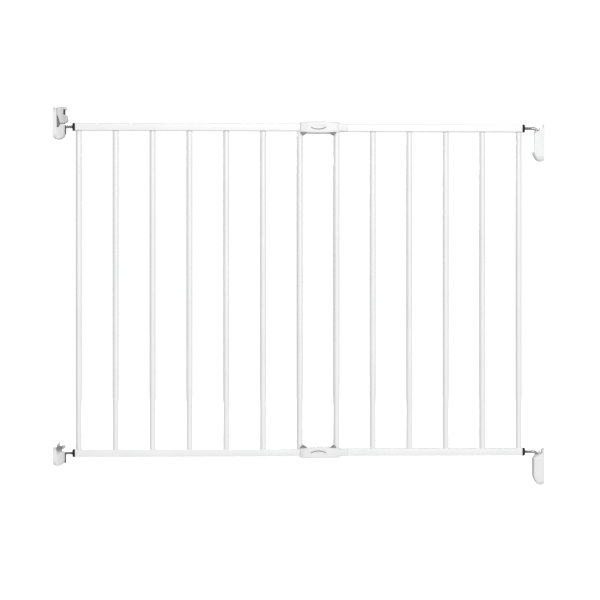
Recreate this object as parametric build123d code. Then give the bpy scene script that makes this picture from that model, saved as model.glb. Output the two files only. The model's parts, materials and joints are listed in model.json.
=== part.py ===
from build123d import *
import math
import os

# Extending, wall-fixed baby gate. Millimetres. +X runs from the latch wall to the hinge wall,
# +Y from the front to the back and +Z up. The origin is midway between the walls, at the
# lowest point of the lower hinge bracket.

# ---- Opening and frames ----
OPENING = 1037.0            # wall to wall, at the extension modelled
BAR_PITCH = 77.5            # leaves 65 mm between bars
BAR_D = 12.5
BAR_WALL = 1.0
OUTER_BARS = 6              # bars on each side of the middle bar
FRAME_H = 702.0             # outside of the top rail to outside of the bottom rail
RAIL_H = 16.0
RAIL_D = 14.0
RAIL_WALL = 1.2
RAIL_RIDGE = 0.45           # the rail's front and back faces fold along a shallow ridge
RAIL_CORNER_R = 2.2
PLANE_GAP = 0.5             # between the front frame and the back frame
RAIL_END = 472.5            # each outer rail end, from the middle
FLANGE = 2.0                # end plug flange
PLUG_L = 25.0
HINGE_DROP = 70.0           # rail axis down to the foot of a hinge bracket

FRONT_Y = -(RAIL_D + PLANE_GAP) / 2     # plane of the latch-side frame
BACK_Y = -FRONT_Y                       # plane of the hinge-side frame
LOW_Z = HINGE_DROP                      # axis of the bottom rail
HIGH_Z = LOW_Z + FRAME_H - RAIL_H       # axis of the top rail
WALL_X = OPENING / 2

# ---- Rods and lock nuts ----
ROD_R = 3.0
RUNNING = 0.06              # radial clearance of a running fit
NUT_R = 8.5
NUT_L = 4.9
NUT_GAP = 0.4
NUT_NOTCHES = 12
ROD_IN_FRAME = 27.5         # rod length inside the rail end

# ---- Coupler: the sleeve that joins the two frames ----
COUPLER_X0 = -0.5
COUPLER_X1 = 85.5
COUPLER_END_H = 10.4        # half height at its ends
COUPLER_MID_H = 11.8        # half height at its crest
COUPLER_FRONT = 5.0         # wall in front of the rail
COUPLER_SNUG = 0.15         # gap round the rail it is fixed to
GLIDE_T = 1.0
SLIDE_GAP = 0.3             # gap to the rail that slides
BACK_WALL = 3.0
SCOOP_HALF = 16.0           # half length of the lens-shaped finger scoop
SCREW_SEAT = -9.5           # under the heads of the screws that hold the front shell
SCREW_X = (22.0, 60.0)
COUPLER_BULGE = 1.8         # how far the front face curves back towards its ends
COLLAR_REACH = 14.5         # bar collars, from the bar's axis towards the middle of the coupler
COLLAR_DROP = 16.8
GUIDE_X1 = 101.5            # end of the guide on the latch-side rail
GUIDE_DROP = 0.4

# ---- Latch brackets (u is the distance from the wall, w the height from the pin axis) ----
BRACKET_HALF = 14.0
LATCH_PLATE = 8.4
LATCH_HALF = 13.0
NOSE_R = 6.2                # plan radius of the cup's and the slider's outer corners
CUP_OUT = 25.5
CUP_WALL = 3.0
PIN_TIP_U = 16.0
LIFT = 20.0                 # how far the gate is lifted to free its pins
HORN_TOP = LIFT - ROD_R - 0.6    # the lifted pin swings out over the lower guard horn
HEEL_R = 6.0
SCREW_R = 2.25
SCREW_HEAD_R = 4.0

# ---- Hinge brackets ----
HINGE_U = 15.5              # hinge axis from the wall
HINGE_PLATE = 4.5
BOSS_R = 6.2
COVER_OUT = 23.5
COVER_WALL = 1.4
BUSH_R = 4.5
BOSS_TOP = -7.0
BOSS_FOOT = -38.0
LEG_FOOT = -36.0
BEND_R = 6.0
HINGE_X = WALL_X - HINGE_U


def block(x0, x1, y0, y1, z0, z1):
    """A box given by its two corners."""
    return Pos((x0 + x1) / 2, (y0 + y1) / 2, (z0 + z1) / 2) * Box(x1 - x0, y1 - y0, z1 - z0)


def rod_x(x0, x1, y, z, r):
    return Pos((x0 + x1) / 2, y, z) * Rot(0, 90, 0) * Cylinder(r, x1 - x0)


def rod_y(x, y0, y1, z, r):
    return Pos(x, (y0 + y1) / 2, z) * Rot(90, 0, 0) * Cylinder(r, y1 - y0)


def rod_z(x, y, z0, z1, r):
    return Pos(x, y, (z0 + z1) / 2) * Cylinder(r, z1 - z0)


def side_solid(sketch, y0, y1):
    """Extrudes a sketch drawn in X and Z from y0 to y1."""
    return extrude(Plane.XZ.offset(-y1) * sketch, amount=y1 - y0, dir=(0, -1, 0))


def end_solid(sketch, x0, x1):
    """Extrudes a sketch drawn in Y and Z from x0 to x1."""
    return extrude(Plane.YZ.offset(x0) * sketch, amount=x1 - x0, dir=(1, 0, 0))


def plan_solid(sketch, z0, z1):
    """Extrudes a sketch drawn in X and Y from z0 to z1."""
    return extrude(Plane.XY.offset(z0) * sketch, amount=z1 - z0, dir=(0, 0, 1))


def outline(*edges):
    return make_face(Curve() + list(edges))


def side_edges(solid):
    """The edges round the two faces that look along Y."""
    faces = solid.faces().sort_by(Axis.Y)
    return faces[0].edges() + faces[-1].edges()


def bar_x(number):
    """Bars are counted from -OUTER_BARS at the latch to OUTER_BARS at the hinge."""
    return number * BAR_PITCH


# ---- Frames ----

def rail_profile(shrink=0.0):
    """The rail's section about its axis, drawn in Y and Z."""
    half_d, half_h = RAIL_D / 2, RAIL_H / 2
    edge = half_d - RAIL_RIDGE
    hexagon = Polygon(
        (half_d, 0), (edge, half_h), (-edge, half_h), (-half_d, 0), (-edge, -half_h), (edge, -half_h),
        align=None,
    )
    corners = [v for v in hexagon.vertices() if abs(v.Y) > 1]
    rounded = fillet(corners, RAIL_CORNER_R)
    return offset(rounded, amount=-shrink) if shrink else rounded


def rail(x0, x1, y, z):
    tube = end_solid(rail_profile() - rail_profile(RAIL_WALL), x0, x1)
    return Pos(0, y, z) * tube


def bar(number, y):
    z0, z1 = LOW_Z + RAIL_H / 2, HIGH_Z - RAIL_H / 2
    x = bar_x(number)
    return rod_z(x, y, z0, z1, BAR_D / 2) - rod_z(x, y, z0, z1, BAR_D / 2 - BAR_WALL)


def end_plug(side, y, z):
    """Plug in an outer rail end, bored for the rod. side is -1 at the latch, 1 at the hinge."""
    face = RAIL_END - FLANGE
    plug = end_solid(rail_profile(), face, RAIL_END)
    plug += end_solid(rail_profile(RAIL_WALL + COUPLER_SNUG), face - PLUG_L, face)
    plug -= rod_x(face - PLUG_L, RAIL_END, 0, 0, ROD_R + RUNNING)
    if side < 0:
        plug = mirror(plug, about=Plane.YZ)
    return Pos(0, y, z) * plug


def inner_cap(z):
    """Blind cap in the inner end of a hinge-side rail."""
    x0 = -BAR_D / 2 - 1.5
    cap = end_solid(rail_profile(), x0, x0 + 1.5)
    cap += end_solid(rail_profile(RAIL_WALL + COUPLER_SNUG), x0 + 1.5, x0 + 14)
    return Pos(0, BACK_Y, z) * cap


def end_guide(z):
    """Guide plugged into the inner end of a latch-side rail. It rides on the other rail."""
    cap = end_solid(rail_profile(), COUPLER_X1 + 0.4, GUIDE_X1)
    cap = chamfer(cap.faces().sort_by(Axis.X)[-1].edges(), 1.6)
    cap = Pos(0, 0, -GUIDE_DROP if z > FRAME_H / 2 else GUIDE_DROP) * cap
    plug = end_solid(rail_profile(RAIL_WALL + 0.6), COUPLER_X1 - 18, COUPLER_X1 + 0.8)
    return Pos(0, FRONT_Y, z) * (cap + plug)


# ---- Coupler, drawn for the top rail about that rail's axis ----

def coupler_outline(margin=0.0):
    end_h, mid_h = COUPLER_END_H - margin, COUPLER_MID_H - margin
    x0, x1 = COUPLER_X0 + margin, COUPLER_X1 - margin
    mid = (x0 + x1) / 2
    return outline(
        Line((x0, -end_h), (x0, end_h)),
        ThreePointArc((x0, end_h), (mid, mid_h), (x1, end_h)),
        Line((x1, end_h), (x1, -end_h)),
        ThreePointArc((x1, -end_h), (mid, -mid_h), (x0, -end_h)),
    )


def scoop():
    """A lens-shaped shallow recess with a deep groove along its curved lower edge."""
    mid = (COUPLER_X0 + COUPLER_X1) / 2 - 3.5
    tips = ((mid - SCOOP_HALF, 1.0), (mid + SCOOP_HALF, 1.0))
    low = ThreePointArc(tips[0], (mid, -3.2), tips[1])
    lens = outline(low, ThreePointArc(tips[1], (mid, 3.6), tips[0]))
    under = ThreePointArc((mid - SCOOP_HALF - 0.8, -0.6), (mid, -5.3), (mid + SCOOP_HALF + 0.8, -0.6))
    groove = outline(
        low,
        Line(tips[1], (mid + SCOOP_HALF + 0.8, -0.6)),
        under,
        Line((mid - SCOOP_HALF - 0.8, -0.6), tips[0]),
    )
    front = FRONT_Y - RAIL_D / 2 - COUPLER_FRONT
    return side_solid(lens, front - 1, front + 0.9) + side_solid(groove, front - 1, front + 3.6)


def coupler_plan():
    """The front shell from above: a shallow bulge, tighter at its latch end than at its hinge end."""
    front = FRONT_Y - RAIL_D / 2 - COUPLER_FRONT
    x0, x1 = COUPLER_X0, COUPLER_X1
    left, right = (x0 + 4.2, front + COUPLER_BULGE), (x1 - 9, front + COUPLER_BULGE)
    return outline(
        Line((x0, -0.1), (x0, front + 6.5)),
        TangentArc((x0, front + 6.5), left, tangent=(0, -1)),
        ThreePointArc(left, ((left[0] + right[0]) / 2, front), right),
        TangentArc((x1, front + 11), right, tangent=(0, -1)),
        Line((x1, front + 11), (x1, -0.1)),
        Line((x1, -0.1), (x0, -0.1)),
    )


def coupler_front():
    front = FRONT_Y - RAIL_D / 2 - COUPLER_FRONT
    shell = side_solid(coupler_outline(), front, -0.1)
    shell = fillet(shell.edges().filter_by(Axis.Y), 3.0)
    shell = shell & plan_solid(coupler_plan(), -20, 20)
    rim = shell.edges().filter_by(lambda e: e.center().Y < front + 5 and e.length > 20)
    shell = fillet(rim, 2.4)
    shell -= scoop()
    pocket = end_solid(rail_profile(-COUPLER_SNUG), COUPLER_X0 - 5, COUPLER_X1 + 5)
    shell -= Pos(0, FRONT_Y, 0) * pocket
    shell -= block(COUPLER_X0 - 5, COUPLER_X1 + 5, FRONT_Y, 0, -RAIL_H / 2 - COUPLER_SNUG, RAIL_H / 2 + COUPLER_SNUG)
    for number in (0, 1):
        shell -= rod_z(bar_x(number), FRONT_Y, -40, 0, BAR_D / 2 + COUPLER_SNUG)
    for x in SCREW_X:
        shell -= rod_z(x, FRONT_Y, -40, 0, 1.6)
        shell -= rod_z(x, FRONT_Y, -40, SCREW_SEAT, 3.2)
    return shell


def bar_collars():
    """Two push-on collars under the coupler, each with a web in the corner beside its bar."""
    collars = []
    body = side_solid(coupler_outline(), -60, 60)
    slant = Polygon((-18.6, -8), (-18.6, -11), (-14.4, -COLLAR_DROP), (0, -COLLAR_DROP), (0, -8), align=None)
    for number, direction in ((0, 1), (1, -1)):
        steps = ((1.0, -9), (COLLAR_REACH, -9), (COLLAR_REACH, -12.2), (7.6, -COLLAR_DROP),
                 (6.2, -COLLAR_DROP), (4.4, -14.4), (1.0, -13.0))
        side = Polygon(*[(bar_x(number) + direction * x, z) for x, z in steps], align=None)
        web = side_solid(side, -20, FRONT_Y + 4.5) & end_solid(slant, -20, 100)
        web -= rod_z(bar_x(number), FRONT_Y, -60, 0, BAR_D / 2 + 0.05)
        collars.append(web - body)
    return collars


def coupler_back():
    """Roof and back wall. Its underside is open, so that the bars of the sliding frame pass."""
    roof = RAIL_H / 2 + SLIDE_GAP + GLIDE_T + 0.1
    rear = BACK_Y + RAIL_D / 2 + SLIDE_GAP
    shell = side_solid(coupler_outline(), 0.1, rear + BACK_WALL)
    shell = fillet(shell.edges().filter_by(Axis.Y), 3.0)
    shell = fillet(shell.faces().sort_by(Axis.Y)[-1].edges(), 2.0)
    shell -= block(COUPLER_X0 - 5, COUPLER_X1 + 5, -1, rear, -40, roof)
    mid = (COUPLER_X0 + COUPLER_X1) / 2
    shell += rod_y(mid, rear + 1, rear + BACK_WALL + 1.5, 0, 6.0)
    shell -= rod_y(mid, 0, 40, 0, 2.5 + COUPLER_SNUG)
    return shell


def glide():
    """Nylon strip under the roof, between the coupler and the sliding rail."""
    z0 = RAIL_H / 2 + SLIDE_GAP
    strip = block(COUPLER_X0 + 3, COUPLER_X1 - 3, 0.4, BACK_Y + RAIL_D / 2, z0, z0 + GLIDE_T)
    return chamfer(strip.edges().filter_by(Axis.Y).group_by(Axis.Z)[0], 0.4)


def lock_screw():
    """Clamps the sliding rail, through the back wall."""
    mid = (COUPLER_X0 + COUPLER_X1) / 2
    tip = BACK_Y + RAIL_D / 2 + SLIDE_GAP + 0.05
    head = tip + BACK_WALL + 1.6
    screw = rod_y(mid, tip, head, 0, 2.5) + rod_y(mid, head, head + 1.9, 0, 4.6)
    hexagon = side_solid(Pos(mid, 0) * RegularPolygon(1.7, 6), head + 0.5, head + 3)
    return screw - hexagon


def coupler_screws():
    """Two screws that hold the front shell to its rail."""
    screws = []
    for x in SCREW_X:
        top = -RAIL_H / 2 + RAIL_WALL + 2.5
        foot = SCREW_SEAT - 1.7
        screw = rod_z(x, FRONT_Y, SCREW_SEAT - 0.05, top, 1.45)
        screw += rod_z(x, FRONT_Y, foot, SCREW_SEAT - 0.05, 2.9)
        slot = block(x - 2, x + 2, FRONT_Y - 0.4, FRONT_Y + 0.4, foot - 1, foot + 0.8)
        screws.append(screw - slot)
    return screws


def at_top(shape):
    return Pos(0, 0, HIGH_Z) * shape


def at_bottom(shape):
    return Pos(0, 0, LOW_Z) * mirror(shape, about=Plane.XY)


def latch_rail(x0, x1, z):
    """Latch-side rail, drilled for the coupler's two screws."""
    tube = rail(x0, x1, FRONT_Y, z)
    inward = -1 if z > FRAME_H / 2 else 1
    for x in SCREW_X:
        low, high = sorted((z, z + inward * RAIL_H))
        tube -= rod_z(x, FRONT_Y, low, high, 1.5)
    return tube


# ---- Rods and nuts ----

def lock_nut(side, y, z):
    x0 = RAIL_END + NUT_GAP
    nut = rod_x(x0, x0 + NUT_L, 0, 0, NUT_R)
    nut = chamfer(nut.edges(), 0.7)
    for step in range(NUT_NOTCHES):
        angle = math.tau * step / NUT_NOTCHES
        reach = NUT_R + 0.9
        nut -= rod_x(x0 - 1, x0 + NUT_L + 1, reach * math.cos(angle), reach * math.sin(angle), 1.5)
    nut -= rod_x(x0 - 1, x0 + NUT_L + 1, 0, 0, ROD_R + RUNNING)
    if side < 0:
        nut = mirror(nut, about=Plane.YZ)
    return Pos(0, y, z) * nut


def latch_pin(z):
    """Plain-ended rod that drops into a latch cup."""
    tip = -WALL_X + PIN_TIP_U
    pin = rod_x(tip, -RAIL_END + ROD_IN_FRAME, FRONT_Y, z, ROD_R)
    return chamfer(pin.edges(), 0.8)


def hinge_pin(z):
    """Rod from the frame, bent down into the hinge bracket."""
    start = RAIL_END - ROD_IN_FRAME
    path = Line((start, 0), (HINGE_X - BEND_R, 0))
    path += RadiusArc((HINGE_X - BEND_R, 0), (HINGE_X, -BEND_R), BEND_R)
    path += Line((HINGE_X, -BEND_R), (HINGE_X, LEG_FOOT))
    wire = Plane.XZ * path
    section = Plane(origin=(start, 0, 0), z_dir=(1, 0, 0)) * Circle(ROD_R)
    return Pos(0, BACK_Y, z) * sweep(section, path=wire)


def hinge_bush(z):
    """Flanged nylon bush that the hinge pin turns in."""
    bush = rod_z(HINGE_X, BACK_Y, LEG_FOOT + 1, BOSS_TOP + 1.5, BUSH_R)
    bush += rod_z(HINGE_X, BACK_Y, BOSS_TOP + 0.05, BOSS_TOP + 1.5, BUSH_R + 0.8)
    bush -= rod_z(HINGE_X, BACK_Y, LEG_FOOT - 1, 0, ROD_R + RUNNING)
    return Pos(0, 0, z) * bush


# ---- Latch brackets ----

def wall_plate(half_y, low, high, thickness):
    """Round-ended plate against the latch wall."""
    plate = end_solid(Pos(0, (low + high) / 2) * RectangleRounded(2 * half_y, high - low, half_y - 1), 0, thickness)
    return fillet(plate.faces().sort_by(Axis.X)[-1].edges(), 2.0)


def screw_hole(w, thickness):
    hole = rod_x(-1, thickness + 1, 0, w, SCREW_R)
    sink = Pos(thickness - 1.1, 0, w) * Rot(0, 90, 0) * Cone(SCREW_R, SCREW_HEAD_R, 2.2)
    return hole + sink


def nose(u0, u1, half):
    """A plan shape with rounded outer corners, that a piece of a bracket is trimmed to."""
    sketch = Pos((u0 + u1) / 2, 0) * Rectangle(u1 - u0, 2 * half)
    corners = [v for v in sketch.vertices() if v.X > (u0 + u1) / 2]
    return plan_solid(fillet(corners, NOSE_R), -60, 60)


def cup(low, high, cavity_low):
    """Open-topped cup on the latch plate, with a slot towards the gate for the pin."""
    start = LATCH_PLATE - 1
    shape = outline(
        Line((start, low), (12, low)),
        ThreePointArc((12, low), (21.6, low + 4.0), (CUP_OUT, low + 13)),
        Line((CUP_OUT, low + 13), (CUP_OUT, high - 1)),
        Line((CUP_OUT, high - 1), (16, high)),
        Line((16, high), (LATCH_PLATE + 2.5, high - 6)),
        Line((LATCH_PLATE + 2.5, high - 6), (start, high - 6)),
        Line((start, high - 6), (start, low)),
    )
    body = side_solid(shape, -LATCH_HALF, LATCH_HALF)
    body = fillet(side_edges(body).filter_by(lambda e: e.center().X > LATCH_PLATE + 1), 2.0)
    body = body & nose(start, CUP_OUT, LATCH_HALF)
    body -= block(LATCH_PLATE, CUP_OUT - CUP_WALL, -8, 8, cavity_low, high + 5)
    body -= block(CUP_OUT - CUP_WALL - 1, CUP_OUT + 1, -6.2, 6.2, cavity_low, high + 5)
    return body


def buffer(cavity_low, high):
    """Rubber lining of the cup's slot, notched for the pin."""
    x0, x1 = CUP_OUT - CUP_WALL - 0.9, CUP_OUT + 1.2
    lining = block(x0, x1, -6.05, 6.05, cavity_low + 0.1, high)
    lining -= rod_x(x0 - 1, x1 + 1, 0, 0, ROD_R + SLIDE_GAP)
    lining -= block(x0 - 1, x1 + 1, -ROD_R - SLIDE_GAP, ROD_R + SLIDE_GAP, 0, high + 1)
    return lining


def heel(w):
    """Cutter that rounds the wall-side edge at the foot of a latch bracket."""
    return block(-1, HEEL_R, -20, 20, w - 1, w + HEEL_R) - rod_y(HEEL_R, -21, 21, w + HEEL_R, HEEL_R)


def latch_top_base():
    base = wall_plate(BRACKET_HALF, -26, 41, LATCH_PLATE)
    base += cup(-26, 4, -15)
    base += block(LATCH_PLATE - 1, 15, 9, LATCH_HALF, -2.5, 3.9)
    base -= heel(-26)
    base -= screw_hole(20, LATCH_PLATE) + screw_hole(-8, LATCH_PLATE)
    return base


def slider_rail():
    """T-shaped rail that the safety slider runs on, with a fin that closes the gap behind the slider."""
    fin = block(LATCH_PLATE, 15, -3, -2, 3, 38)
    return fin + block(LATCH_PLATE, 17, -3, 3, 26, 38) + block(16, 19, -6, 6, 26, 38)


def latch_slider():
    """Safety slider over the top pin."""
    shape = outline(
        Line((8.8, 26), (8.8, 39)),
        ThreePointArc((8.8, 39), (9.5, 40.4), (11.0, 41)),
        Line((11.0, 41), (22.0, 41)),
        Line((22.0, 41), (22.0, 25.2)),
        Line((22.0, 25.2), (24.9, 25.2)),
        Line((24.9, 25.2), (24.9, 8)),
        Line((24.9, 8), (23.6, 6.7)),
        Line((23.6, 6.7), (15, 6.7)),
        Line((15, 6.7), (8.8, 26)),
    )
    body = side_solid(shape, -11, 11)
    body = fillet(side_edges(body), 1.2)
    body = body & nose(5, 24.9, 11)
    tab = side_solid(Pos(24.3, 38.3) * RectangleRounded(9.2, 5.2, 2.2), -7, 7)
    thumb = outline(
        Line((23.6, 25.1), (25.1, 25.1)),
        ThreePointArc((25.1, 25.1), (32.0, 16.4), (25.1, 8.2)),
        Line((25.1, 8.2), (23.6, 8.2)),
        Line((23.6, 8.2), (23.6, 25.1)),
    )
    bump = side_solid(thumb, -8, 8)
    bump = fillet(bump.edges().filter_by(GeomType.CIRCLE), 2.0)
    body += fillet(side_edges(tab), 1.2) + bump
    body -= block(5, 16, -3.4, 3.4, 5, 38.4) + block(15.6, 19.4, -6.4, 6.4, 5, 38.4)
    return body


def slider_insert():
    """Dark grip band in the neck of the slider."""
    band = block(22.05, 25.1, -8, 8, 26.2, 35.0)
    return fillet(band.edges().filter_by(Axis.Z).group_by(Axis.X)[-1], 1.5)


def horn(side, *points):
    """A horn on one side of the lower pin."""
    shape = outline(*[Line(a, b) for a, b in zip(points, points[1:] + points[:1])])
    y0, y1 = sorted((side * 7.2, side * 11.5))
    body = side_solid(shape, y0, y1)
    return fillet(body.edges().filter_by(Axis.Y), 0.9)


def latch_bottom_base():
    base = wall_plate(BRACKET_HALF, -26, 13, LATCH_PLATE)
    base += cup(-26, 4, -20)
    base -= heel(-26)
    base -= screw_hole(5, LATCH_PLATE) + screw_hole(-15, LATCH_PLATE)
    return base


def pin_guard():
    """Two horns that steer the lower pin into its cup, joined above the upper screw."""
    guard = horn(-1, (7, 9), (8.8, 18), (11.5, 23.5), (14.8, 26), (15.2, 19), (16.2, 12), (16.2, -3), (7, -3))
    guard += horn(1, (13, -3), (13, 14), (18.5, HORN_TOP), (24.5, HORN_TOP), (25.6, 12.5), (24, 9.4), (18, 7.6),
                  (16.5, -3))
    guard += block(LATCH_PLATE, 13.5, -11.5, 11.5, 9.3, 12.8)
    return guard - latch_bottom_base()


def at_latch(shape, z):
    return Pos(-WALL_X, FRONT_Y, z) * shape


# ---- Hinge brackets, drawn with u = 0 at the wall and mirrored onto the hinge wall ----

def hinge_base():
    plate = end_solid(Pos(0, -30) * RectangleRounded(24, 76, 11), 0, HINGE_PLATE)
    plate = fillet(plate.faces().sort_by(Axis.X)[-1].edges(), 1.2)
    boss = rod_z(HINGE_U, 0, BOSS_FOOT, BOSS_TOP, BOSS_R)
    web = block(3, HINGE_U, -BOSS_R, BOSS_R, BOSS_FOOT, BOSS_TOP)
    shield = rod_z(HINGE_U, 0, BOSS_TOP - 1, 8, BOSS_R + 1.2) - rod_z(HINGE_U, 0, BOSS_TOP - 2, 9, BUSH_R + 1.1)
    shield = shield & block(0, HINGE_U - 3.4, -7, 7, BOSS_TOP - 1, 8)
    lean = Polygon((HINGE_U - 9.4, 8.1), (HINGE_U - 2, -5), (HINGE_U + 5, -5), (HINGE_U + 5, 9), align=None)
    shield -= side_solid(lean, -20, 20)
    base = plate + boss + web + shield
    base -= rod_z(HINGE_U, 0, LEG_FOOT - 0.6, 30, BUSH_R + RUNNING)
    base -= rod_z(HINGE_U, 0, BOSS_TOP, 30, BUSH_R + 1.1)
    base -= screw_hole(-44, HINGE_PLATE) + screw_hole(-62, HINGE_PLATE)
    return base


def cover_solid(inset):
    """The tongue-shaped outside of the screw cover, or its hollow when inset."""
    out, foot, half = COVER_OUT - inset, -HINGE_DROP + inset, BRACKET_HALF - inset
    top = 4.0
    shape = outline(
        Line((0.4, top), (out - 2, top)),
        Line((out - 2, top), (out, -14)),
        Line((out, -14), (out, -48)),
        ThreePointArc((out, -48), (out - 4.2, -61.0 + inset / 2), (out - 12.5, foot)),
        Line((out - 12.5, foot), (6, foot)),
        ThreePointArc((6, foot), (2.0, foot + 2.6), (0.4, foot + 7)),
        Line((0.4, foot + 7), (0.4, top)),
    )
    body = side_solid(shape, -half, half)
    front = side_edges(body).filter_by(lambda e: e.center().X > 3)
    body = fillet(front, 3.0 if inset == 0 else 1.8)
    face = Pos(0, (foot + 20) / 2) * Rectangle(2 * half, 20 - foot)
    low_corners = face.vertices().sort_by(Axis.Y)[:2]
    return body & end_solid(fillet(low_corners, half - 2.5), -1, 40)


def hinge_cover():
    """Snap-on cover over the bracket's screws, cut away at the top round the pin."""
    cover = cover_solid(0) - cover_solid(COVER_WALL)
    cover -= end_solid(Pos(0, -30) * RectangleRounded(24.5, 76.5, 11.2), -1, HINGE_PLATE + 0.2)
    slope = Polygon((-5, 2), (4, -1), (30, -17), (30, 20), (-5, 20), align=None)
    cover -= side_solid(slope, -30, 30)
    cover -= rod_z(HINGE_U, 0, BOSS_FOOT - 1, 20, BOSS_R + 0.2)
    return cover


def at_hinge(shape, z):
    return Pos(WALL_X, BACK_Y, z) * mirror(shape, about=Plane.YZ)


# ---- Assembly ----

def frame_parts():
    parts = {}
    for number in range(-OUTER_BARS, 2):
        parts[f"latch_bar_{number + OUTER_BARS + 1}"] = bar(number, FRONT_Y)
    for number in range(0, OUTER_BARS + 1):
        parts[f"hinge_bar_{number + 1}"] = bar(number, BACK_Y)
    for level, z, place in (("top", HIGH_Z, at_top), ("bottom", LOW_Z, at_bottom)):
        parts[f"latch_rail_{level}"] = latch_rail(-RAIL_END + FLANGE, COUPLER_X1 + 0.3, z)
        parts[f"hinge_rail_{level}"] = rail(-BAR_D / 2, RAIL_END - FLANGE, BACK_Y, z)
        parts[f"latch_plug_{level}"] = end_plug(-1, FRONT_Y, z)
        parts[f"hinge_plug_{level}"] = end_plug(1, BACK_Y, z)
        parts[f"inner_cap_{level}"] = inner_cap(z)
        parts[f"end_guide_{level}"] = end_guide(z)
        parts[f"coupler_front_{level}"] = place(coupler_front())
        parts[f"coupler_back_{level}"] = place(coupler_back())
        parts[f"glide_{level}"] = place(glide())
        parts[f"lock_screw_{level}"] = place(lock_screw())
        parts[f"coupler_screws_{level}"] = Compound(children=[place(s) for s in coupler_screws()])
    parts["bar_collars"] = Compound(children=[place(c) for place in (at_top, at_bottom) for c in bar_collars()])
    return parts


def fitting_parts():
    parts = {}
    for level, z in (("top", HIGH_Z), ("bottom", LOW_Z)):
        parts[f"latch_nut_{level}"] = lock_nut(-1, FRONT_Y, z)
        parts[f"hinge_nut_{level}"] = lock_nut(1, BACK_Y, z)
        parts[f"latch_pin_{level}"] = latch_pin(z)
        parts[f"hinge_pin_{level}"] = hinge_pin(z)
        parts[f"hinge_bush_{level}"] = hinge_bush(z)
        parts[f"hinge_bracket_{level}"] = at_hinge(hinge_base(), z)
        parts[f"hinge_cover_{level}"] = at_hinge(hinge_cover(), z)
    parts["latch_bracket_top"] = at_latch(latch_top_base(), HIGH_Z)
    parts["latch_bracket_bottom"] = at_latch(latch_bottom_base(), LOW_Z)
    parts["latch_buffer_top"] = at_latch(buffer(-15, 3), HIGH_Z)
    parts["latch_buffer_bottom"] = at_latch(buffer(-20, 3), LOW_Z)
    parts["slider_rail"] = at_latch(slider_rail(), HIGH_Z)
    parts["pin_guard"] = at_latch(pin_guard(), LOW_Z)
    parts["latch_slider"] = at_latch(latch_slider(), HIGH_Z)
    parts["slider_grip"] = at_latch(slider_insert(), HIGH_Z)
    return parts


os.makedirs("parts", exist_ok=True)
for name, shape in {**frame_parts(), **fitting_parts()}.items():
    export_step(shape, f"parts/{name}.step")
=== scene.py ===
import bpy
import bmesh
import json
import math
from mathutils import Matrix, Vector


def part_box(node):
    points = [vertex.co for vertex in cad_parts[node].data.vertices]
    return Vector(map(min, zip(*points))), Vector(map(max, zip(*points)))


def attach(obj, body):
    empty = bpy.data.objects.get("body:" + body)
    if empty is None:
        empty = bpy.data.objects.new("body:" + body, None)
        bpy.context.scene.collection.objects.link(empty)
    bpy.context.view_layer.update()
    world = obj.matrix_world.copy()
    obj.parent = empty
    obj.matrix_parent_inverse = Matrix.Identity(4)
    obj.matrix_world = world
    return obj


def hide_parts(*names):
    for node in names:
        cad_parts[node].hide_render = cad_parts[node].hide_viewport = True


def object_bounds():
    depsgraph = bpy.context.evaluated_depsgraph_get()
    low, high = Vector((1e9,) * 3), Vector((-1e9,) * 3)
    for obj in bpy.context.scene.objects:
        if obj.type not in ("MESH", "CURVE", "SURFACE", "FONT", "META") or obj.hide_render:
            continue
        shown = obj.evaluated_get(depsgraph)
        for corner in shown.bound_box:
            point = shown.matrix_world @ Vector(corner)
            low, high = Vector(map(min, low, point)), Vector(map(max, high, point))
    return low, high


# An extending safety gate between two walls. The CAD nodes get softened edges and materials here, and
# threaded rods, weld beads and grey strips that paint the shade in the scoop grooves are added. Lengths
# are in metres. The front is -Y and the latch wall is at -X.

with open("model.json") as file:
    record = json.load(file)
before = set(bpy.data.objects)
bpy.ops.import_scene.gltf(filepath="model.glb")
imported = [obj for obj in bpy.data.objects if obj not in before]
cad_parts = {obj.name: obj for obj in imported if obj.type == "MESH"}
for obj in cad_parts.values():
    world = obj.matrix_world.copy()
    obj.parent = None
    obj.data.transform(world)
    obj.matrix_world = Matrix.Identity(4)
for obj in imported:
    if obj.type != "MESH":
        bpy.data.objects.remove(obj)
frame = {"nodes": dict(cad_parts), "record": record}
cad_lo, cad_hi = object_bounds()
NODES = frame["nodes"]
RECORD = frame["record"]
SLOT_OF = {part["node"]: part["material_slot"] for part in RECORD["subparts"]}
LEVELS = ("top", "bottom")
MM = 0.001


# ---- Shader nodes ----

MIX_A, MIX_B, MIX_RESULT = 6, 7, 2  # the colour sockets of a Mix node


def grey(level, blue=0.0):
    """A grey colour. blue is added to its blue part."""
    return (level, level, level + blue)


def opaque(colour):
    return colour if isinstance(colour, bpy.types.NodeSocket) else (*colour, 1.0)


class Nodes:
    """A small helper that adds nodes to one shader tree."""

    def __init__(self, tree):
        self.tree = tree

    def node(self, kind, inputs=(), **settings):
        made = self.tree.nodes.new(kind)
        for key, value in settings.items():
            setattr(made, key, value)
        for key, value in dict(inputs).items():
            if isinstance(value, bpy.types.NodeSocket):
                self.link(value, made.inputs[key])
            else:
                made.inputs[key].default_value = value
        return made

    def link(self, source, target):
        self.tree.links.new(source, target)

    def math(self, operation, *values):
        return self.node("ShaderNodeMath", enumerate(values), operation=operation).outputs[0]

    def axis(self, vector, letter):
        return self.node("ShaderNodeSeparateXYZ", {0: vector}).outputs[letter]


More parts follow.
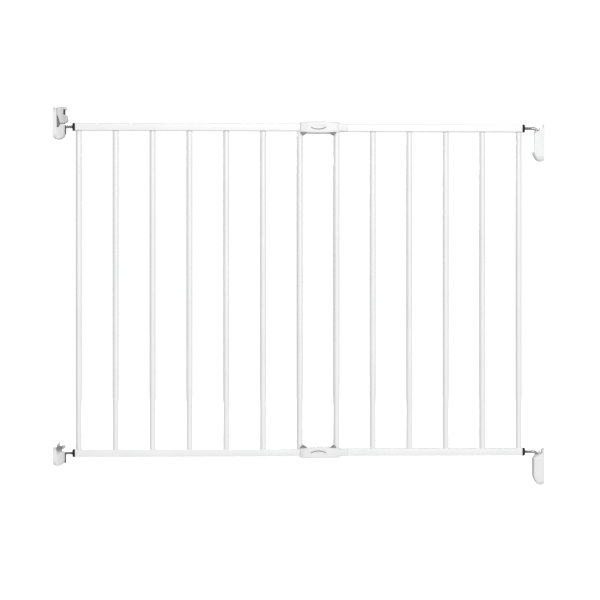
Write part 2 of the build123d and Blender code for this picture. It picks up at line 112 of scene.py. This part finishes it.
class Shader(Nodes):
    """The nodes of one new material, on top of its Principled shader."""

    def __init__(self, name):
        self.material = bpy.data.materials.new(name)
        self.material.use_nodes = True
        super().__init__(self.material.node_tree)
        self.bsdf = self.tree.nodes["Principled BSDF"]

    def place(self):
        return self.node("ShaderNodeTexCoord").outputs["Object"]

    def noise(self, scale, detail=3.0, rough=0.5, stretch=None):
        where = self.place()
        if stretch:
            where = self.node("ShaderNodeMapping", {"Vector": where, "Scale": stretch}).outputs[0]
        settings = {"Vector": where, "Scale": scale, "Detail": detail, "Roughness": rough}
        return self.node("ShaderNodeTexNoise", settings).outputs["Fac"]

    def ramp(self, source, *stops):
        made = self.node("ShaderNodeValToRGB", {"Fac": source})
        points = made.color_ramp.elements
        while len(points) < len(stops):
            points.new(0.5)
        for point, (at, colour) in zip(points, stops):
            point.position = at
            point.color = opaque(colour)
        return made.outputs["Color"]

    def span(self, source, low, high, start=0.3, end=0.7):
        """Goes from low to high while the source goes from start to end."""
        settings = {"Value": source, "From Min": start, "From Max": end, "To Min": low, "To Max": high}
        return self.node("ShaderNodeMapRange", settings).outputs["Result"]

    def mix(self, amount, a, b, blend="MIX"):
        inputs = {"Factor": amount, MIX_A: opaque(a), MIX_B: opaque(b)}
        return self.node("ShaderNodeMix", inputs, data_type="RGBA", blend_type=blend).outputs[MIX_RESULT]

    def bump(self, height, distance, strength=1.0, below=None):
        made = self.node("ShaderNodeBump", {"Height": height, "Distance": distance, "Strength": strength})
        if below is not None:
            self.link(below, made.inputs["Normal"])
        return made.outputs["Normal"]

    def finish(self, colour, roughness, normal, **constants):
        self.link(colour, self.bsdf.inputs["Base Color"])
        self.link(roughness, self.bsdf.inputs["Roughness"])
        self.link(normal, self.bsdf.inputs["Normal"])
        for key, value in constants.items():
            self.bsdf.inputs[key.replace("_", " ")].default_value = value
        return self.material


# ---- Materials ----

COAT_DARK, COAT_LIGHT = (0.845, 0.848, 0.850), (0.885, 0.886, 0.884)
# The last bead colour is painted shade, for the undersides of the beads
BEAD_DARK, BEAD_LIGHT, BEAD_PAINTED_SHADE = (0.82, 0.823, 0.825), (0.86, 0.861, 0.859), grey(0.20, 0.005)
WHITE_DARK, WHITE_LIGHT = (0.80, 0.803, 0.805), (0.84, 0.841, 0.838)
GREY_DARK, GREY_LIGHT = (0.255, 0.257, 0.26), (0.295, 0.297, 0.30)
NYLON_DARK, NYLON_LIGHT = (0.74, 0.73, 0.685), (0.80, 0.79, 0.75)
BLACK, BLACK_WORN = grey(0.005, 0.0005), grey(0.020, 0.001)
RUBBER_DARK, RUBBER_LIGHT = grey(0.030, 0.001), grey(0.052, 0.001)
ZINC_DARK, ZINC_MIDDLE, ZINC_LIGHT = grey(0.30, 0.01), grey(0.37), grey(0.43, -0.01)
CLOUD_DARK, CLOUD_LIGHT = grey(0.93), grey(0.97)  # the faint cloud that a tone is multiplied by

COAT_IOR = 1.5
PLASTIC_IOR = 1.49
NYLON_IOR = 1.53
BLACK_IOR = 1.42
RUBBER_IOR = 1.5

# The latch fittings' painted shade grows between these distances from the latch wall
LATCH_SHADE_START, LATCH_SHADE_END = 4 * MM, 26 * MM
# The guard's painted shade is darkest at this place in its box, in shares of its length and height,
# up to the first distance. It is lightest from the second distance.
GUARD_CORE = (0.27, 0.5)
GUARD_SHADE_START, GUARD_SHADE_END = 3 * MM, 11 * MM


def powder_coat():
    """White powder coat: soft orange peel about 1.5 mm across, with a fine grain in it."""
    s = Shader("white_powder_coat_look")
    colour = s.ramp(s.noise(9.0, detail=2.0), (0.3, COAT_DARK), (0.7, COAT_LIGHT))
    peel = s.noise(620.0, detail=2.0, rough=0.45)
    grain = s.noise(2600.0, detail=2.0, rough=0.6)
    rough = s.span(s.noise(140.0), 0.30, 0.38)
    normal = s.bump(grain, 0.03 * MM, 0.35, below=s.bump(peel, 0.12 * MM, 0.5))
    return s.finish(colour, rough, normal, Coat_Weight=0.12, Coat_Roughness=0.22, IOR=COAT_IOR)


def weld_coat():
    """Powder coat over the weld beads, with painted shade that turns their downward-facing undersides grey.
    """
    s = Shader("weld_coat_look")
    facing_up = s.axis(s.node("ShaderNodeNewGeometry").outputs["Normal"], "Z")
    # Painted shade: the more the bead's surface faces down, the greyer it is painted
    underside_shade = s.span(facing_up, 1.0, 0.0, start=-0.45, end=0.05)
    cloud = s.noise(500.0, detail=2.0)
    covered = s.ramp(cloud, (0.3, BEAD_DARK), (0.7, BEAD_LIGHT))
    rough = s.span(cloud, 0.32, 0.42)
    normal = s.bump(s.noise(900.0, detail=2.0), 0.1 * MM, 0.6)
    return s.finish(s.mix(underside_shade, covered, BEAD_PAINTED_SHADE), rough, normal, IOR=COAT_IOR)


def moulded(name, dark, light, rough_low, rough_high):
    """Moulded plastic with a fine spark-eroded texture and faint flow marks."""
    s = Shader(name)
    flow = s.noise(26.0, rough=0.55, stretch=(1.0, 1.0, 0.25))
    colour = s.ramp(flow, (0.32, dark), (0.68, light))
    spark = s.noise(1900.0, rough=0.65)
    rough = s.span(s.noise(210.0), rough_low, rough_high)
    normal = s.bump(spark, 0.05 * MM, 0.45, below=s.bump(flow, 0.2 * MM, 0.15))
    return s, colour, rough, normal


def white_plastic():
    s, colour, rough, normal = moulded("white_plastic_look", WHITE_DARK, WHITE_LIGHT, 0.34, 0.46)
    return s.finish(colour, rough, normal, Subsurface_Weight=0.06, Subsurface_Scale=0.5,
                    Subsurface_Radius=(4 * MM, 4 * MM, 4 * MM), IOR=PLASTIC_IOR)


def latch_plastic(name, near_wall, shaded_near_gate):
    """The white plastic of the latch fittings, with painted shade that greys it towards the gate."""
    s, colour, rough, normal = moulded(name, CLOUD_DARK, CLOUD_LIGHT, 0.34, 0.46)
    wall, x = cad_lo.x, s.axis(s.place(), "X")
    across = s.span(x, 0.0, 1.0, start=wall + LATCH_SHADE_START, end=wall + LATCH_SHADE_END)
    # Painted shade: the plastic is greyed more the farther it is from the latch wall
    painted_shade = s.mix(across, near_wall, shaded_near_gate)
    return s.finish(s.mix(1.0, colour, painted_shade, "MULTIPLY"), rough, normal, IOR=PLASTIC_IOR)


def guard_plastic(shaded_core, at_tips):
    """The lower guard's grey plastic, with painted shade darkest at its core and lighter towards its horns'
    tips.
    """
    s, colour, rough, normal = moulded("pin_guard_look", CLOUD_DARK, CLOUD_LIGHT, 0.36, 0.5)
    lo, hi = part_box("pin_guard")
    core = (lo.x + GUARD_CORE[0] * (hi.x - lo.x), 0.0, lo.z + GUARD_CORE[1] * (hi.z - lo.z))
    no_depth = {0: s.place(), 1: (1.0, 0.0, 1.0)}
    side_view = s.node("ShaderNodeVectorMath", no_depth, operation="MULTIPLY").outputs[0]
    away = s.node("ShaderNodeVectorMath", {0: side_view, 1: core}, operation="DISTANCE").outputs["Value"]
    outward = s.span(away, 0.0, 1.0, start=GUARD_SHADE_START, end=GUARD_SHADE_END)
    # Painted shade: darkest at the guard's core and fading out towards the tips of its horns
    painted_shade = s.mix(outward, shaded_core, at_tips)
    return s.finish(s.mix(1.0, colour, painted_shade, "MULTIPLY"), rough, normal, IOR=PLASTIC_IOR)


# Grey plastic of the bar collars, whose dark grey also paints the shade under the couplers; the strips in the
# scoop grooves use it as painted shade
def grey_plastic():
    s, colour, rough, normal = moulded("grey_plastic_look", GREY_DARK, GREY_LIGHT, 0.36, 0.5)
    return s.finish(colour, rough, normal, IOR=PLASTIC_IOR)


def nylon():
    s, colour, rough, normal = moulded("nylon_look", NYLON_DARK, NYLON_LIGHT, 0.38, 0.52)
    return s.finish(colour, rough, normal, Subsurface_Weight=0.25, Subsurface_Scale=0.6,
                    Subsurface_Radius=(3 * MM, 3 * MM, 2.5 * MM), IOR=NYLON_IOR)


def black_plastic():
    """Black lock nuts: satin, slightly greyed where the notches' edges are handled."""
    s, _, rough, normal = moulded("black_plastic_look", grey(0.0), grey(0.01), 0.36, 0.52)
    edge = s.node("ShaderNodeNewGeometry").outputs["Pointiness"]
    colour = s.mix(s.span(edge, 0.0, 1.0, start=0.50, end=0.60), BLACK, BLACK_WORN)
    return s.finish(colour, rough, normal, IOR=BLACK_IOR, Specular_IOR_Level=0.3)


def dark_rubber():
    s = Shader("dark_rubber_look")
    cloud = s.noise(160.0, detail=4.0, rough=0.6)
    colour = s.ramp(cloud, (0.3, RUBBER_DARK), (0.7, RUBBER_LIGHT))
    rough = s.span(cloud, 0.62, 0.82)
    normal = s.bump(s.noise(1400.0, rough=0.7), 0.06 * MM, 0.6)
    return s.finish(colour, rough, normal, IOR=RUBBER_IOR)


def zinc_steel():
    """Zinc-plated steel: faint spangle, drawing lines along the rod and duller patches."""
    s = Shader("zinc_steel_look")
    patches = s.noise(75.0, detail=4.0, rough=0.6)
    colour = s.ramp(patches, (0.28, ZINC_DARK), (0.5, ZINC_MIDDLE), (0.74, ZINC_LIGHT))
    lines = s.noise(900.0, rough=0.6, stretch=(0.06, 1.0, 1.0))
    rough = s.span(s.noise(240.0, detail=4.0, rough=0.6), 0.26, 0.46)
    return s.finish(colour, rough, s.bump(lines, 0.03 * MM, 0.5), Metallic=1.0)


LOOKS = {
    "white_powder_coat": powder_coat(),
    "white_plastic": white_plastic(),
    "grey_plastic": grey_plastic(),
    "nylon": nylon(),
    "black_plastic": black_plastic(),
    "dark_rubber": dark_rubber(),
    "zinc_steel": zinc_steel(),
}

# Nodes whose names start like this have a look of their own
OWN_LOOKS = {
    # Both greys are painted shade: the fittings darken towards the gate, and the slider is darker overall
    "latch_bracket": latch_plastic("latch_bracket_look", grey(0.88), grey(0.66, 0.005)),
    "latch_slider": latch_plastic("latch_slider_look", grey(0.80), grey(0.56, 0.005)),
    "pin_guard": guard_plastic(grey(0.21, 0.003), grey(0.70, 0.005)),
}


# ---- CAD nodes: smoother shading, softened edges, new materials ----

JOIN_DISTANCE = 0.004 * MM
FLAT_ANGLE = math.radians(0.6)   # faces within this angle become one
SHARP_ANGLE = math.radians(32)   # edges past this angle are rounded
EDGE_SEGMENTS = 2

# The width of the rounded edges, by the start of the node's name. The tubes have none.
EDGE_WIDTH = {
    "latch_bar": 0.0, "hinge_bar": 0.0, "latch_rail": 0.0, "hinge_rail": 0.0,
    "latch_plug": 0.3 * MM, "hinge_plug": 0.3 * MM, "end_guide": 0.3 * MM, "inner_cap": 0.3 * MM,
    "coupler_front": 0.35 * MM, "coupler_back": 0.35 * MM, "bar_collars": 0.3 * MM,
    "latch_nut": 0.2 * MM, "hinge_nut": 0.2 * MM,
    "latch_bracket": 0.3 * MM, "hinge_bracket": 0.3 * MM, "hinge_cover": 0.3 * MM,
    "latch_slider": 0.3 * MM, "slider_grip": 0.2 * MM, "slider_rail": 0.2 * MM, "pin_guard": 0.2 * MM,
}


def soften(obj, width):
    """Joins the split vertices and rounds the sharp edges slightly, with modifiers only."""
    join = obj.modifiers.new("join", "WELD")
    join.merge_threshold = JOIN_DISTANCE
    flat = obj.modifiers.new("flat", "DECIMATE")
    flat.decimate_type = "DISSOLVE"
    flat.angle_limit = FLAT_ANGLE
    if width:
        edge = obj.modifiers.new("edge", "BEVEL")
        edge.width = width
        edge.segments = EDGE_SEGMENTS
        edge.limit_method = "ANGLE"
        edge.angle_limit = SHARP_ANGLE
        edge.harden_normals = True
        edge.use_clamp_overlap = True


def by_start(table, name, otherwise=None):
    """The table's value for the entry that the name starts with."""
    for start, value in table.items():
        if name.startswith(start):
            return value
    return otherwise


def dress(name, obj):
    look = by_start(OWN_LOOKS, name, LOOKS[SLOT_OF[name]])
    for material_slot in obj.material_slots:
        material_slot.material = look
    if not obj.material_slots:
        obj.data.materials.append(look)
    width = by_start(EDGE_WIDTH, name)
    if width is not None:
        soften(obj, width)


for node_name, node_object in NODES.items():
    dress(node_name, node_object)


# ---- New pieces ----

def mesh_from(name, build):
    bm = bmesh.new()
    build(bm)
    bmesh.ops.recalc_face_normals(bm, faces=bm.faces)
    mesh = bpy.data.meshes.new(name)
    bm.to_mesh(mesh)
    bm.free()
    return mesh


def add_piece(name, build, slot, body, replaced=(), look=None, smooth=True):
    obj = bpy.data.objects.new(name, mesh_from(name, build))
    bpy.context.scene.collection.objects.link(obj)
    obj.data.materials.append(look or LOOKS[slot])
    for polygon in obj.data.polygons:
        polygon.use_smooth = smooth
    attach(obj, body)
    if replaced:
        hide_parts(*replaced)


def skin(bm, rings, closed=False):
    """Quads between rings of points, with end caps unless the rings close on themselves."""
    made = [[bm.verts.new(p) for p in ring] for ring in rings]
    pairs = list(zip(made, made[1:]))
    if closed:
        pairs.append((made[-1], made[0]))
    for a, b in pairs:
        for i in range(len(a)):
            j = (i + 1) % len(a)
            bm.faces.new((a[i], a[j], b[j], b[i]))
    if not closed:
        bm.faces.new(made[0][::-1])
        bm.faces.new(made[-1])


# ---- Threaded rods ----

THREAD_PITCH = 1.25 * MM
THREAD_DEPTH = 0.42 * MM
THREAD_CREST = 0.16               # shares of a turn: crest, flank down and root, and the rest is the flank up
THREAD_FLANK = 0.30
THREAD_ROOT = 0.16
THREAD_FADE = 1.2 * THREAD_PITCH  # over this length a thread reaches its full depth
THREAD_START = 1.5 * MM           # from the rod's inner end
RING_STEP = THREAD_PITCH / 10
ROD_SIDES = 32
ROD_SIDE = Vector((0, 1, 0))
LATCH_ROD_TIP = 9.0 * MM          # without thread, where the rod lies in the cup
LATCH_ROD_CHAMFER = 0.8 * MM
HINGE_ROD_BEND = 6.0 * MM
HINGE_ROD_PLAIN = 4 * MM          # without thread, before the bend
BEND_STEPS = 14
FOOT_STEP = 2 * MM


def thread_profile(turn):
    """Depth of a thread, 0 at its crest and 1 at its root, by the share of a turn."""
    past_crest = turn % 1.0 - THREAD_CREST
    past_root = past_crest - THREAD_FLANK - THREAD_ROOT
    if past_crest < 0:
        return 0.0
    if past_root >= 0:
        return 1.0 - past_root / (1.0 - THREAD_CREST - THREAD_FLANK - THREAD_ROOT)
    return min(1.0, past_crest / THREAD_FLANK)


def rod_rings(path, radius, thread_from, thread_to):
    """Rings along a path of (point, tangent, distance), threaded between two distances."""
    rings = []
    for point, tangent, distance in path:
        up = tangent.cross(ROD_SIDE)
        fade = min(1.0, max(0.0, min(distance - thread_from, thread_to - distance) / THREAD_FADE))
        ring = []
        for i in range(ROD_SIDES):
            angle = math.tau * i / ROD_SIDES
            cut = THREAD_DEPTH * fade * thread_profile(distance / THREAD_PITCH + i / ROD_SIDES)
            ring.append(point + (ROD_SIDE * math.cos(angle) + up * math.sin(angle)) * (radius - cut))
        rings.append(ring)
    return rings


def chamfered(rings, radius, size):
    """The rings with a small chamfer at both ends."""
    def end(ring, inner):
        centre = sum(ring, Vector()) / len(ring)
        along = (sum(inner, Vector()) / len(inner) - centre).normalized()
        narrow = [centre + (p - centre) * ((radius - size) / (p - centre).length) for p in ring]
        return narrow, [p + along * size for p in ring]

    first, second = end(rings[0], rings[1])
    last, second_last = end(rings[-1], rings[-2])
    return [first, second, *rings[1:-1], second_last, last]


def straight(start, end, step, distance=0.0):
    """A straight stretch of a rod's path. distance is how far along the rod it starts."""
    length = (end - start).length
    tangent = (end - start).normalized()
    count = max(1, round(length / step))
    return [(start + tangent * (length * k / count), tangent, distance + length * k / count)
            for k in range(count + 1)]


def latch_rod(level):
    """A straight rod from inside the front frame's rail to the latch cup."""
    node = f"latch_pin_{level}"
    lo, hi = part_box(node)
    centre = (lo + hi) / 2
    radius = (hi.z - lo.z) / 2
    start, end = Vector((hi.x, centre.y, centre.z)), Vector((lo.x, centre.y, centre.z))
    path = straight(start, end, RING_STEP)
    rings = rod_rings(path, radius, THREAD_START, (end - start).length - LATCH_ROD_TIP)
    rings = chamfered(rings, radius, LATCH_ROD_CHAMFER)
    add_piece(f"threaded_rod_latch_{level}", lambda bm: skin(bm, rings), "zinc_steel", "latch_pins", (node,))


def hinge_rod(level):
    """A rod from inside the back frame's rail that bends down into the hinge bracket."""
    node = f"hinge_pin_{level}"
    lo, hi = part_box(node)
    radius = (hi.y - lo.y) / 2
    axis = Vector((hi.x - radius, (lo.y + hi.y) / 2, hi.z - radius))
    start = Vector((lo.x, axis.y, axis.z))
    corner = Vector((axis.x - HINGE_ROD_BEND, axis.y, axis.z))
    run = (corner - start).length
    path = straight(start, corner, RING_STEP)
    for k in range(1, BEND_STEPS + 1):
        angle = math.pi / 2 * k / BEND_STEPS
        point = corner + Vector((math.sin(angle), 0, math.cos(angle) - 1)) * HINGE_ROD_BEND
        tangent = Vector((math.cos(angle), 0, -math.sin(angle)))
        path.append((point, tangent, run + HINGE_ROD_BEND * angle))
    below, _, distance = path[-1]
    path += straight(below, Vector((axis.x, axis.y, lo.z)), FOOT_STEP, distance)[1:]
    rings = rod_rings(path, radius, THREAD_START, run - HINGE_ROD_PLAIN)
    add_piece(f"threaded_rod_hinge_{level}", lambda bm: skin(bm, rings), "zinc_steel", "hinge_pins", (node,))


for level in LEVELS:
    latch_rod(level)
    hinge_rod(level)


# ---- Grey strips that paint the shade in the grooves of the couplers' finger scoops ----

GROOVE_SHADE_DEPTH = 2.6 * MM          # below the coupler's front face
GROOVE_SHADE_THICKNESS = 0.9 * MM
GROOVE_SHADE_HALF_LENGTH = 15.6 * MM
GROOVE_SHADE_HALF_HEIGHT = 0.75 * MM
GROOVE_SHADE_TAPER = 0.75              # share of the height that is lost at the ends
GROOVE_SHADE_TAPER_POWER = 8
GROOVE_SHADE_END_DROP = 0.2 * MM       # from the rail's axis to the groove's centre line at its ends
GROOVE_SHADE_MID_DROP = 4.25 * MM
GROOVE_SHADE_OFF_CENTRE = -3.5 * MM
GROOVE_SHADE_STEPS = 40


def groove_shade_strip(level):
    """A thin dark strip that follows the groove's arc, pressed into the groove as painted shade."""
    lo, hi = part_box(f"coupler_front_{level}")
    rail_lo, rail_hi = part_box(f"latch_rail_{level}")
    inward = -1 if level == "top" else 1
    centre_x = (lo.x + hi.x) / 2 + GROOVE_SHADE_OFF_CENTRE
    axis_z = (rail_lo.z + rail_hi.z) / 2
    front = lo.y + GROOVE_SHADE_DEPTH
    back = front + GROOVE_SHADE_THICKNESS
    rings = []
    for k in range(GROOVE_SHADE_STEPS + 1):
        t = 2 * k / GROOVE_SHADE_STEPS - 1
        drop = GROOVE_SHADE_END_DROP + (GROOVE_SHADE_MID_DROP - GROOVE_SHADE_END_DROP) * (1 - t * t)
        half = GROOVE_SHADE_HALF_HEIGHT * (1 - GROOVE_SHADE_TAPER * t ** GROOVE_SHADE_TAPER_POWER)
        x, z = centre_x + GROOVE_SHADE_HALF_LENGTH * t, axis_z + inward * drop
        corners = ((front, z - half), (front, z + half), (back, z + half), (back, z - half))
        rings.append([Vector((x, y, height)) for y, height in corners])
    # The strip's grey is painted shade, standing in for the groove's shadow
    name = f"coupler_groove_shade_{level}"
    add_piece(name, lambda bm: skin(bm, rings), "grey_plastic", "latch_frame", smooth=False)


for level in LEVELS:
    groove_shade_strip(level)


# ---- Weld fillets between the bars and the rails ----

WELD_LOOK = weld_coat()
WELD_REACH = 0.7 * MM
WELD_STEPS = 48                  # round the bar
WELD_ARC = 4                     # across the bead
WELD_HOLLOW = 0.30
WELD_INSIDE = 0.94               # the bead's hidden inner edge, as a share of the bar's radius
WELD_SUNK = 0.9                  # and as a share of the rise of the rail's corner
COARSE_SWELL, COARSE_WAVES, COARSE_SHIFT = 0.10, 5, 900
FINE_SWELL, FINE_WAVES, FINE_SHIFT = 0.06, 11, 300
RAIL_FLAT = 4.35 * MM
RAIL_CORNER = 2.2 * MM
RAIL_SIDE = 6.5 * MM


def rail_rise(y):
    """How far the rail's rounded corner has curved away from its flat face, at y from its axis."""
    over = min(abs(y), RAIL_SIDE) - RAIL_FLAT
    if over <= 0:
        return 0.0
    return RAIL_CORNER - math.sqrt(max(0.0, RAIL_CORNER ** 2 - over ** 2))


def weld_ring(bm, x, y, z, radius, up):
    """A concave bead round a bar's end. up is 1 where the rail is above the bar."""
    rings = []
    for i in range(WELD_STEPS):
        angle = math.tau * i / WELD_STEPS
        coarse = COARSE_SWELL * math.sin(COARSE_WAVES * angle + x * COARSE_SHIFT)
        fine = FINE_SWELL * math.sin(FINE_WAVES * angle + z * FINE_SHIFT)
        reach = WELD_REACH * (1.0 + coarse + fine)
        outward = Vector((math.cos(angle), math.sin(angle), 0.0))
        out_y = max(-RAIL_SIDE, min(RAIL_SIDE, (radius + reach) * outward.y))
        rise = up * rail_rise(out_y)
        corner = outward * radius
        low = corner + Vector((0.0, 0.0, -up * reach))
        high = Vector(((radius + reach) * outward.x, out_y, rise))
        ring = [corner * WELD_INSIDE + Vector((0.0, 0.0, rise * WELD_SUNK))]
        for k in range(WELD_ARC + 1):
            t = k / WELD_ARC
            hollow = WELD_HOLLOW * 4 * t * (1 - t)
            ring.append(low.lerp(high, t).lerp(corner.lerp(high, t / 2), hollow))
        rings.append([Vector((x, y, z)) + p for p in ring])
    skin(bm, rings, closed=True)


def welds(name, prefix, numbers, body):
    """The beads at both ends of the numbered bars, as one piece."""
    def build(bm):
        for number in numbers:
            lo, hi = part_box(f"{prefix}{number}")
            x, y, radius = (lo.x + hi.x) / 2, (lo.y + hi.y) / 2, (hi.x - lo.x) / 2
            weld_ring(bm, x, y, hi.z, radius, 1)
            weld_ring(bm, x, y, lo.z, radius, -1)

    add_piece(name, build, "white_powder_coat", body, look=WELD_LOOK)


# The front frame's last two bars have the couplers' collars at their ends, and no beads
welds("latch_frame_welds", "latch_bar_", range(1, 7), "latch_frame")
welds("hinge_frame_welds", "hinge_bar_", range(1, 8), "hinge_frame")


# ---- Floor, world, lights and camera ----

FLOOR_DROP = 0.03
FLOOR_SIZE = 40.0
FLOOR_STEPS = 8
FLOOR_GLOW = 0.6
FLOOR_DARK, FLOOR_LIGHT = grey(0.93), grey(0.95)

SKY_SIDE = 0.40                  # world brightness level with the object, for all but the camera
SKY_TILT = 0.15                  # brighter on the hinge side than on the latch side
SKY_TOP = 0.12
SKY_FRONT = 0.25
SKY_BELOW = 0.32
SKY_SEEN = 1.08                  # what the camera sees

SOFTBOX_SIZE = 1.1
SOFTBOX_ASIDE, SOFTBOX_AWAY, SOFTBOX_HEIGHT = 0.5, 3.8, 1.45
SOFTBOX_AIM = (0, 0, 0.5)
KEY_POWER = 62
BACK_POWER = 55

CAMERA_DISTANCE = 4.0
CAMERA_YAW = math.radians(1.45)
CAMERA_AIM_X = 0.0006
CAMERA_HEIGHT = 0.3920
CAMERA_LENS = 113.58
CAMERA_SENSOR = 36.0
CAMERA_CLIP = (0.05, 100.0)


def make_floor():
    """A pale floor that glows a little and doesn't light the object."""
    def build(bm):
        def place(i):
            return FLOOR_SIZE * (i / FLOOR_STEPS - 0.5)

        count = range(FLOOR_STEPS + 1)
        grid = [[bm.verts.new((place(i), place(j), cad_lo.z - FLOOR_DROP)) for i in count] for j in count]
        for row, next_row in zip(grid, grid[1:]):
            for i in range(FLOOR_STEPS):
                bm.faces.new((row[i], row[i + 1], next_row[i + 1], next_row[i]))

    s = Shader("floor_look")
    colour = s.ramp(s.noise(3.0, detail=2.0), (0.3, FLOOR_DARK), (0.7, FLOOR_LIGHT))
    rough = s.span(s.noise(40.0), 0.75, 0.85)
    normal = s.bump(s.noise(300.0), 0.1 * MM, 0.1)
    material = s.finish(colour, rough, normal, Emission_Color=(1, 1, 1, 1), Emission_Strength=FLOOR_GLOW)
    obj = bpy.data.objects.new("floor", mesh_from("floor", build))
    bpy.context.scene.collection.objects.link(obj)
    obj.data.materials.append(material)
    obj.visible_diffuse = False
    obj.visible_glossy = False


def make_world():
    """White to the camera. For the object, dim at the sides and brighter above, below and in front."""
    world = bpy.data.worlds.new("studio")
    bpy.context.scene.world = world
    world.use_nodes = True
    nodes = Nodes(world.node_tree)
    direction = nodes.node("ShaderNodeTexCoord").outputs["Generated"]
    to_right, to_back, to_top = nodes.node("ShaderNodeSeparateXYZ", {0: direction}).outputs
    to_front = nodes.math("MULTIPLY", to_back, -1.0)
    to_bottom = nodes.math("MULTIPLY", to_top, -1.0)
    level = nodes.math("MULTIPLY_ADD", to_right, SKY_TILT, SKY_SIDE)
    for share, towards in ((SKY_TOP, to_top), (SKY_FRONT, to_front), (SKY_BELOW, to_bottom)):
        level = nodes.math("MULTIPLY_ADD", nodes.math("MAXIMUM", towards, 0.0), share, level)
    from_camera = nodes.node("ShaderNodeLightPath").outputs["Is Camera Ray"]
    seen = nodes.node("ShaderNodeMix", {"Factor": from_camera, "A": level, "B": SKY_SEEN})
    background = world.node_tree.nodes["Background"]
    background.inputs["Color"].default_value = (1, 1, 1, 1)
    nodes.link(seen.outputs["Result"], background.inputs["Strength"])


def softbox(name, place, power):
    data = bpy.data.lights.new(name, "AREA")
    data.shape = "RECTANGLE"
    data.size = data.size_y = SOFTBOX_SIZE
    data.energy = power
    lamp = bpy.data.objects.new(name, data)
    bpy.context.scene.collection.objects.link(lamp)
    lamp.location = place
    lamp.visible_camera = False
    lamp.rotation_euler = (Vector(SOFTBOX_AIM) - Vector(place)).to_track_quat("-Z", "Y").to_euler()


def make_camera():
    data = bpy.data.cameras.new("camera")
    data.lens = CAMERA_LENS
    data.sensor_width = CAMERA_SENSOR
    data.clip_start, data.clip_end = CAMERA_CLIP
    camera = bpy.data.objects.new("camera", data)
    bpy.context.scene.collection.objects.link(camera)
    camera.location = (CAMERA_AIM_X - CAMERA_DISTANCE * math.sin(CAMERA_YAW),
                       -CAMERA_DISTANCE * math.cos(CAMERA_YAW), CAMERA_HEIGHT)
    camera.rotation_euler = (math.pi / 2, 0, -CAMERA_YAW)
    bpy.context.scene.camera = camera


make_floor()
make_world()
softbox("key", (SOFTBOX_ASIDE, -SOFTBOX_AWAY, SOFTBOX_HEIGHT), KEY_POWER)
softbox("back", (-SOFTBOX_ASIDE, SOFTBOX_AWAY, SOFTBOX_HEIGHT), BACK_POWER)
make_camera()
bpy.context.scene.view_settings.view_transform = "Standard"
